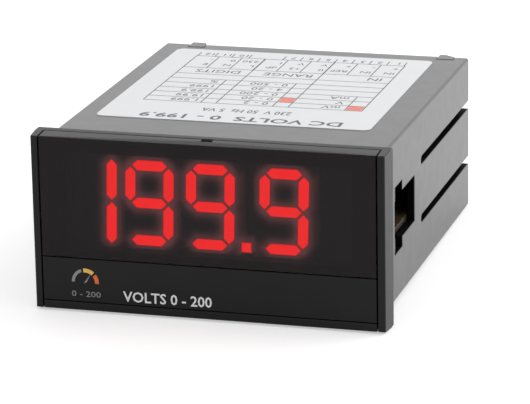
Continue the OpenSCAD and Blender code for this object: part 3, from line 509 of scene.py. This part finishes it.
def spill_at(verts, reach):
    """Painted glow of all the segments at each corner of a mesh, 1 beside one segment."""
    points = np.array([(v.co.x, v.co.z) for v in verts])
    shares = [np.exp(-(distance_to(outline, points) / reach) ** 2) for outline in LIT]
    return np.minimum(np.sum(shares, axis=0), SPILL_MOST)


def is_front_or_side(face):
    return face.normal.y < PARTLY


def is_plate_back(face):
    return face.normal.y > MOSTLY and face.calc_center_median().y < BEHIND_PLATE


def light_up(mesh):
    """Stores a painted glow for a module's front, standing in for the segments' light that falls on
    it, and fades it down its sides.
    """
    front = min(v.co.y for v in mesh.verts)
    cut_finely(mesh, is_front_or_side, SPILL_STEP)
    layer = mesh.verts.layers.float.new("painted_spill")
    verts = list(mesh.verts)
    for v, share in zip(verts, spill_at(verts, SPILL_REACH)):
        v[layer] = float(share) if v.co.y < front + SPILL_DEPTH else 0.0


def haze_window(mesh):
    """Stores a painted glow for the back of the window's plate, standing in for the segments' light
    that it scatters.
    """
    cut_finely(mesh, is_plate_back, HAZE_STEP)
    layer = mesh.verts.layers.float.new("painted_spill")
    verts = list({v for face in mesh.faces if is_plate_back(face) for v in face.verts})
    for v, share in zip(verts, spill_at(verts, HAZE_REACH)):
        v[layer] = float(share)


def dim_rims(mesh):
    """Gives each lit diffuser a rim that dims to RIM_GLOW at its edge."""
    fronts = [f for f in mesh.faces if f.normal.y < -SQUARELY]
    layer = mesh.verts.layers.float.new("glow")
    bmesh.ops.inset_individual(mesh, faces=fronts, thickness=RIM_WIDTH, use_even_offset=True)
    for v in mesh.verts:
        v[layer] = RIM_GLOW
    for face in fronts:
        for v in face.verts:
            v[layer] = 1.0


# ---------------------------------------------------------------- second colours on a piece

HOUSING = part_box("housing")
CUT_MARGIN = 0.3 * MM
CAN_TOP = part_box("filter_capacitors")[1].z - 0.6 * MM
LIP_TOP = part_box("display_window")[1].z - 0.2 * MM
BARE_CAN = metal("bare_can", (0.70, 0.70, 0.70), 0.34).material
# Painted shade: a near-black, barely reflecting plastic on the case's inside and slot walls, where
# only shade falls.
PAINTED_SHADE_INSIDE = smooth_plastic("painted_shade_case_inside", (0.003, 0.003, 0.003), 0.60)
PAINTED_SHADE_INSIDE.bsdf.inputs["IOR"].default_value = 1.12


def is_within_walls(face):
    """True for the inside of the case and the walls of its slots, which lie in their own shade and
    get a near-black painted shade.
    """
    place = face.calc_center_median()
    return (
        HOUSING[0].x + CUT_MARGIN < place.x < HOUSING[1].x - CUT_MARGIN
        and HOUSING[0].z + CUT_MARGIN < place.z < HOUSING[1].z - CUT_MARGIN
        and place.y < HOUSING[1].y - CUT_MARGIN
    )


def is_can_top(face):
    return face.normal.z > MOSTLY and face.calc_center_median().z > CAN_TOP


def is_window_lip(face):
    return face.normal.z > PARTLY and face.calc_center_median().z > LIP_TOP


SECOND_PAINT = {
    # The housing's inside and slot walls take the painted shade.
    "housing": (PAINTED_SHADE_INSIDE.material, is_within_walls),
    "filter_capacitors": (BARE_CAN, is_can_top),
    "display_window": (MATERIALS["bezel_plastic"], is_window_lip),
}


def dress(node):
    """Makes the finished piece that stands for a CAD node."""
    mesh = welded_mesh(node)
    if node in PAINTED_SPILL_NODES or node == "lit_segments":
        join_flat_faces(mesh)
    if node in EDGE_MM:
        round_edges(mesh, EDGE_MM[node] * MM)
    # Painted glow on the module faces around the segments.
    if node in PAINTED_SPILL_NODES:
        light_up(mesh)
    if node == "display_window":
        haze_window(mesh)
    if node == "lit_segments":
        dim_rims(mesh)
    materials = [MATERIALS[SLOT_OF[node]]]
    if node in SECOND_PAINT:
        material, wanted = SECOND_PAINT[node]
        materials.append(material)
        for face in mesh.faces:
            face.material_index = int(wanted(face))
    make_piece(node + "_piece", mesh, BODY_OF[node], materials, [node])


# ---------------------------------------------------------------- print

PRINT_T = 0.02 * MM
CAP_SHARE = 0.682      # height of a capital in Blender's own font, for size 1
ARC_STEPS = 10


class Print:
    """Letters and bars that lie as thin raised ink on a face, placed in millimetres."""

    def __init__(self, origin, right, up, inks):
        right, up = Vector(right), Vector(up)
        axes = Matrix((right, up, right.cross(up))).transposed()
        self.place = Matrix.Translation(origin) @ axes.to_4x4()
        self.inks = inks
        self.mesh = bmesh.new()

    def add(self, part, color):
        """Moves a part from the face's plane to its place and keeps it."""
        for face in part.faces:
            face.material_index = list(self.inks).index(color)
        part.transform(self.place)
        data = bpy.data.meshes.new("part")
        part.to_mesh(data)
        part.free()
        self.mesh.from_mesh(data)
        bpy.data.meshes.remove(data)

    def letters(self, text, left, base, cap, color, width=None, bold=0.0):
        """A line of text from its left end, squeezed to width where one is given."""
        curve = bpy.data.curves.new("letters", "FONT")
        curve.body, curve.size = text, cap / CAP_SHARE * MM
        curve.extrude, curve.resolution_u = PRINT_T / 2, 2
        curve.offset = bold * MM
        holder = bpy.data.objects.new("letters", curve)
        data = bpy.data.meshes.new_from_object(holder)
        bpy.data.objects.remove(holder)
        part = bmesh.new()
        part.from_mesh(data)
        bpy.data.meshes.remove(data)
        bmesh.ops.remove_doubles(part, verts=part.verts, dist=WELD_LETTERS)
        low = min(v.co.x for v in part.verts)
        high = max(v.co.x for v in part.verts)
        fit = width * MM / (high - low) if width else 1
        for v in part.verts:
            across, up = left * MM + (v.co.x - low) * fit, base * MM + v.co.y
            v.co = Vector((across, up, v.co.z + PRINT_T / 2))
        self.add(part, color)

    def outline(self, points, color):
        """A flat shape with its corners listed counterclockwise."""
        part = bmesh.new()
        rings = [[part.verts.new((u * MM, v * MM, w)) for u, v in points] for w in (0, PRINT_T)]
        part.faces.new(rings[1])
        part.faces.new(rings[0][::-1])
        for i in range(len(points)):
            j = (i + 1) % len(points)
            part.faces.new((rings[0][i], rings[0][j], rings[1][j], rings[1][i]))
        self.add(part, color)

    def bar(self, left, low, right, high, color):
        self.outline([(left, low), (right, low), (right, high), (left, high)], color)

    def arc(self, centre, inner, outer, start, end, color):
        """Part of a ring from start to end, in degrees counterclockwise."""
        turns = [math.radians(start + (end - start) * i / ARC_STEPS) for i in range(ARC_STEPS + 1)]
        rim, hole = [
            [(centre[0] + radius * math.cos(t), centre[1] + radius * math.sin(t)) for t in turns]
            for radius in (outer, inner)
        ]
        self.outline(rim + hole[::-1], color)

    def finish(self, name, body):
        make_piece(name, self.mesh, body, list(self.inks.values()))


# The label's table: its sides, its long rules, and the rules beside its marks, which end lower.
TABLE_LEFT, TABLE_RIGHT, TABLE_LOW, TABLE_TOP = 6.7, 68.2, 7.5, 58.0
ROW_LINES = [53.3, 48.3, 43.4, 38.0, 33.0, 27.7, 20.7]
COLUMN_LINES = [27.2, 47.6]
INPUT_MARK, RANGE_MARK, DIGITS_MARK = 11.5, 31.6, 51.9
MARK_COLUMNS = [(INPUT_MARK, ROW_LINES[2]), (RANGE_MARK, ROW_LINES[4]), (DIGITS_MARK, ROW_LINES[4])]
RULE = 0.30
CELLS = 9
CELL = (TABLE_RIGHT - TABLE_LEFT) / CELLS
TERMINAL_PITCH, FIRST_TERMINAL, TERMINAL_TICK = 5.08, 9.56, 4.0
TERMINAL_GROUPS = ((0, 7), (9, 12))

# The table's words: for each column its left end and its rows, whose base lines are shared.
WORD_BASES = [54.2, 49.4, 44.4, 39.2, 34.0]
WORD_COLUMNS = [
    (13.5, ["mV", "V", "mA"]),
    (33.5, ["0 - 2", "0 - 20", "0 - 200", "4 - 20", "0 - 500"]),
    (53.5, ["1.999", "19.99", "199.9", "1999", "%"]),
]
HEADINGS = ((9.5, "IN"), (29.5, "RANGE"), (50.5, "DIGITS"))
HEADING_BASE = 22.6
CELL_WORDS = {
    15.6: ["IN", "IN", "REF", "0", "+5", "dP", "L", "N", "E"],
    10.2: ["+", "-", "+", "V", "V", "1", "230", "0", "-"],
}
CELL_INDENT = 1.0
TERMINALS = [1, 2, 3, 4, 5, 6, 7, 10, 11, 12]
HALF_NUMERAL, NUMBER_DROP = 0.85, 3.6
WORD_CAP, HEADING_CAP, CELL_CAP, NUMBER_CAP = 2.6, 3.0, 2.2, 2.3


def rule_table(page):
    def across(height):
        page.bar(TABLE_LEFT, height - RULE / 2, TABLE_RIGHT, height + RULE / 2, "dark")

    def upright(place, low=TABLE_LOW, high=TABLE_TOP):
        page.bar(place - RULE / 2, low, place + RULE / 2, high, "dark")

    for height in [TABLE_LOW, TABLE_TOP] + ROW_LINES:
        across(height)
    for place in [TABLE_LEFT, TABLE_RIGHT] + COLUMN_LINES:
        upright(place)
    for place, low in MARK_COLUMNS:
        upright(place, low)
    for i in range(1, CELLS):
        upright(TABLE_LEFT + i * CELL, TABLE_LOW, ROW_LINES[-1])
    for first, last in TERMINAL_GROUPS:
        for i in range(first, last + 1):
            place = FIRST_TERMINAL + (i - 0.5) * TERMINAL_PITCH
            upright(place, TABLE_LOW - TERMINAL_TICK, TABLE_LOW)


def fill_table(page):
    first, second = ROW_LINES[:2]
    page.bar(TABLE_LEFT + RULE, first + RULE, INPUT_MARK - RULE, TABLE_TOP - RULE, "red")
    page.bar(COLUMN_LINES[0] + RULE, second + RULE, RANGE_MARK - RULE, first - RULE, "red")
    for left, words in WORD_COLUMNS:
        for base, word in zip(WORD_BASES, words):
            page.letters(word, left, base, WORD_CAP, "dark")
    for left, word in HEADINGS:
        page.letters(word, left, HEADING_BASE, HEADING_CAP, "dark")
    for i in range(CELLS):
        for base, words in CELL_WORDS.items():
            page.letters(words[i], TABLE_LEFT + i * CELL + CELL_INDENT, base, CELL_CAP, "dark")
    for number in TERMINALS:
        word = str(number)
        left = FIRST_TERMINAL + (number - 1) * TERMINAL_PITCH - HALF_NUMERAL * len(word)
        page.letters(word, left, TABLE_LOW - NUMBER_DROP, NUMBER_CAP, "dark")


def print_label():
    """Ruled boxes, plain numbers and unit symbols on the rating label, read from the rear."""
    inks = {
        "dark": ink("label_ink", (0.12, 0.12, 0.125)),
        "red": ink("label_red", (0.93, 0.25, 0.19)),
    }
    page = Print(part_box("rating_label")[1], (-1, 0, 0), (0, -1, 0), inks)
    page.letters("DC VOLTS  0 - 199.9", 8.5, 70.6, 3.9, "dark", width=56, bold=0.10)
    page.letters("230 V  50 Hz  5 VA", 24.5, 63.2, 3.0, "dark", width=25, bold=0.04)
    rule_table(page)
    fill_table(page)
    page.finish("label_print", "case")


# The dial sign: its centre, and for each band of the scale its radii, ends in degrees and ink.
DIAL = (-33.6, -15.6)
DIAL_BANDS = [
    (2.9, 3.7, 108, 180, "grey"),
    (2.7, 3.8, 48, 98, "yellow"),
    (2.7, 3.8, -4, 38, "orange"),
]
DIAL_HAND = [(-34.0, -15.9), (-33.2, -15.6), (-32.0, -13.2)]


def print_legend():
    """Plain range lettering and a small dial sign on the plate below the window."""
    inks = {
        "white": ink("legend_ink", (0.80, 0.80, 0.82)),
        "grey": ink("legend_grey", (0.28, 0.28, 0.29)),
        "yellow": ink("legend_yellow", (0.86, 0.52, 0.12)),
        "orange": ink("legend_orange", (0.80, 0.17, 0.04)),
    }
    page = Print((0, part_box("legend_plate")[0].y, 0), (1, 0, 0), (0, 0, 1), inks)
    page.letters("VOLTS 0 - 200", -23.2, -20.1, 2.7, "white", width=24.3, bold=0.06)
    for inner, outer, start, end, color in DIAL_BANDS:
        page.arc(DIAL, inner, outer, start, end, color)
    page.outline(DIAL_HAND, "grey")
    page.letters("0 - 200", -37.4, -19.6, 1.5, "grey", width=8.0)
    page.finish("legend_print", "front_cover")


for cad_node in frame["nodes"]:
    dress(cad_node)
print_label()
print_legend()


# ---------------------------------------------------------------- camera, light and floor

# Direction and place of the view, and how the object's origin lies from the view's middle.
YAW, PITCH, ROLL = (math.radians(a) for a in (16.003, 16.593, -1.016))
DISTANCE = 817.98 * MM
ORIGIN_RIGHT, ORIGIN_UP = -13.204 * MM, -6.156 * MM
FOCAL_MM, SENSOR_MM = 212.94, 36
NEAR, FAR = 0.01, 20

# Light of the studio on the object, and how bright shiny surfaces see the studio.
WORLD_STRENGTH, WORLD_MIRRORED = 0.75, 0.92

# One large softbox, above and to the right.
KEY_PLACE, KEY_AIM, KEY_SIZE, KEY_POWER = (0.9, 0.5, 0.9), (0, 0.05, 0), (0.9, 0.9), 6

# Light that the floor adds to its own colour, as the camera and as shiny surfaces see it.
FLOOR_SEEN, FLOOR_MIRRORED = 0.46, 0.15
FLOOR_COLOR, FLOOR_ROUGHNESS = (0.80, 0.80, 0.80), 0.9
FLOOR_HALF = 4
FLOOR_GAP = 0.02 * MM


def add_camera():
    forward = Vector((
        -math.sin(YAW) * math.cos(PITCH), math.cos(YAW) * math.cos(PITCH), -math.sin(PITCH)
    ))
    level = Vector((math.cos(YAW), math.sin(YAW), 0))
    upright = level.cross(forward)
    right = math.cos(ROLL) * level + math.sin(ROLL) * upright
    up = math.cos(ROLL) * upright - math.sin(ROLL) * level
    place = -DISTANCE * forward - ORIGIN_RIGHT * right - ORIGIN_UP * up
    data = bpy.data.cameras.new("camera")
    data.lens, data.sensor_width = FOCAL_MM, SENSOR_MM
    data.clip_start, data.clip_end = NEAR, FAR
    camera = bpy.data.objects.new("camera", data)
    bpy.context.scene.collection.objects.link(camera)
    turn = Matrix((right, up, -forward)).transposed()
    camera.matrix_world = Matrix.Translation(place) @ turn.to_4x4()
    bpy.context.scene.camera = camera


def add_softbox(name, place, aim, size, power):
    data = bpy.data.lights.new(name, "AREA")
    data.shape = "RECTANGLE"
    data.size, data.size_y = size
    data.energy = power
    lamp = bpy.data.objects.new(name, data)
    bpy.context.scene.collection.objects.link(lamp)
    lamp.location = place
    lamp.rotation_euler = (Vector(aim) - Vector(place)).to_track_quat("-Z", "Y").to_euler()


def add_world(strength, mirrored):
    """An even pale studio: white to the camera and through glass, and nearly so to shiny surfaces."""
    world = bpy.data.worlds.new("studio")
    bpy.context.scene.world = world
    world.use_nodes = True
    nodes, links = world.node_tree.nodes, world.node_tree.links
    rays = nodes.new("ShaderNodeLightPath").outputs

    def joined(operation, *values):
        made = nodes.new("ShaderNodeMath")
        made.operation = operation
        for value, socket in zip(values, made.inputs):
            if isinstance(value, float):
                socket.default_value = value
            else:
                links.new(value, socket)
        return made.outputs["Value"]

    seen = joined("MAXIMUM", rays["Is Camera Ray"], rays["Is Transmission Ray"])
    shiny = joined("MULTIPLY", rays["Is Glossy Ray"], mirrored)
    brightest = joined("MAXIMUM", joined("MAXIMUM", seen, shiny), strength)
    links.new(brightest, nodes["Background"].inputs["Strength"])
    nodes["Background"].inputs["Color"].default_value = (1, 1, 1, 1)


def floor_material():
    """Pale and matt: near white to the camera and through glass, and it keeps shadows."""
    made = Finish(
        "floor_pale", FLOOR_COLOR, FLOOR_ROUGHNESS,
        Specular_IOR_Level=0.1, Emission_Color=(1, 1, 1, 1),
    )
    made.set("Base Color", made.mottle(200 * MM, 0.01))
    rays = made.node("LightPath").outputs
    clear = made.math("MAXIMUM", rays["Is Camera Ray"], rays["Is Transmission Ray"])
    mirrored = made.math("MULTIPLY", rays["Is Glossy Ray"], FLOOR_MIRRORED)
    seen = made.math("MULTIPLY", clear, FLOOR_SEEN)
    made.set("Emission Strength", made.math("MAXIMUM", seen, mirrored))
    return made.material


def add_floor():
    """The surface under the bezel's lower edge and the rear cover's lower lugs."""
    bezel_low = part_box("front_frame")[0].z
    lug_low, lug_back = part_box("rear_cover")[0].z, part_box("rear_cover")[1].y
    data = bpy.data.meshes.new("floor")
    corners = [
        (x * FLOOR_HALF, y * FLOOR_HALF, 0) for x, y in ((-1, -1), (1, -1), (1, 1), (-1, 1))
    ]
    data.from_pydata(corners, [], [(0, 1, 2, 3)])
    data.materials.append(floor_material())
    floor = bpy.data.objects.new("floor", data)
    bpy.context.scene.collection.objects.link(floor)
    floor.location = (0, 0, bezel_low - FLOOR_GAP)
    floor.rotation_euler = (math.atan2(lug_low - bezel_low, lug_back), 0, 0)


add_camera()
add_world(WORLD_STRENGTH, WORLD_MIRRORED)
add_floor()
add_softbox("key", KEY_PLACE, KEY_AIM, KEY_SIZE, KEY_POWER)

bpy.context.scene.view_settings.view_transform = "Standard"
